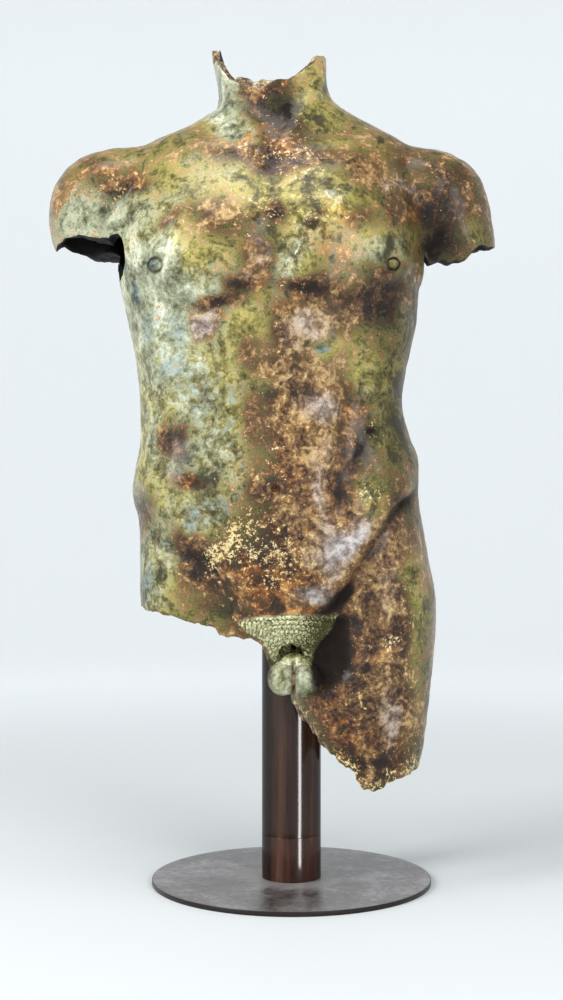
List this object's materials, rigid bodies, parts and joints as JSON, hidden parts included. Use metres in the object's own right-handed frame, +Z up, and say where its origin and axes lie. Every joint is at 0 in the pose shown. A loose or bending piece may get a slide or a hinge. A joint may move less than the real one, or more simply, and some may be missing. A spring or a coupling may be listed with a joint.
{
  "type": "bronze torso sculpture",
  "caption": "Life-size hollow cast bronze male torso, broken at neck, arms, hip and thigh, held up by a round steel post on a thin round steel base plate.",
  "frame": {"origin": "centre of the round base plate's underside", "axes": "+Z up along the post, the figure faces -Y, its own right side is on -X"},
  "size_m": [0.4749, 0.3066, 0.9],
  "materials": {
    "patinated_bronze": "cast bronze, mottled olive green, ochre and brown patina, waxed",
    "stand_steel": "dark brown patinated steel tube, waxed to a gloss, streaky",
    "plate_steel": "dull grey-brown waxed steel plate, scuffed"
  },
  "bodies": {
    "root": {"torso": "patinated_bronze", "post": "stand_steel", "post_socket": "stand_steel", "base_plate": "plate_steel"}
  },
  "joints": []
}
